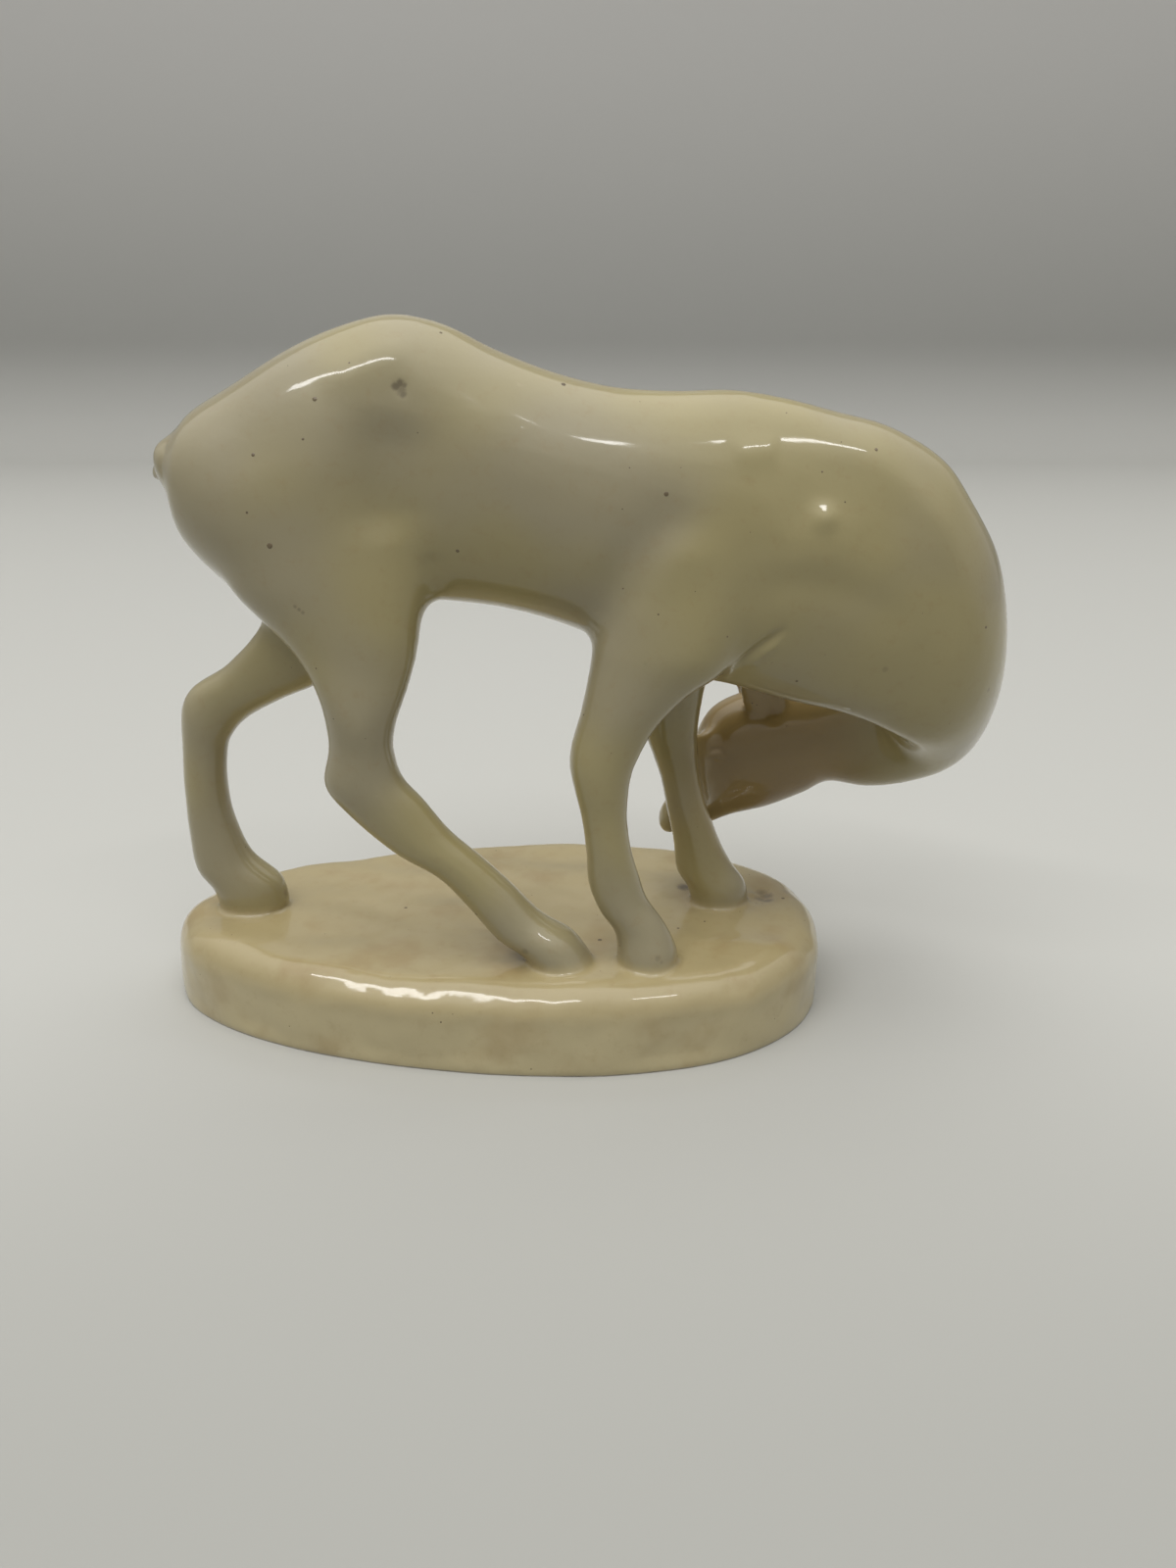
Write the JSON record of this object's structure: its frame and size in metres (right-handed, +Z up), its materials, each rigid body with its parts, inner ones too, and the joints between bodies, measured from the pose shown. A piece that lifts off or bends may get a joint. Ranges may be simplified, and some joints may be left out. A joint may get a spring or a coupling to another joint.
{
  "type": "deer figurine",
  "caption": "Glazed ceramic fawn on an oval plinth, neck turned round so that the head lies beside its foreleg; a free-standing ornament.",
  "frame": {"origin": "middle of the plinth's flat underside", "axes": "+Z up, +X the way the fawn walks, along the plinth; -Y towards the side that is seen in the picture"},
  "size_m": [0.1856, 0.084, 0.1481],
  "materials": {
    "ivory_glaze": "glossy transparent glaze over cream earthenware, small iron specks and pinholes"
  },
  "bodies": {
    "root": {"deer_figurine": "ivory_glaze"}
  },
  "joints": []
}
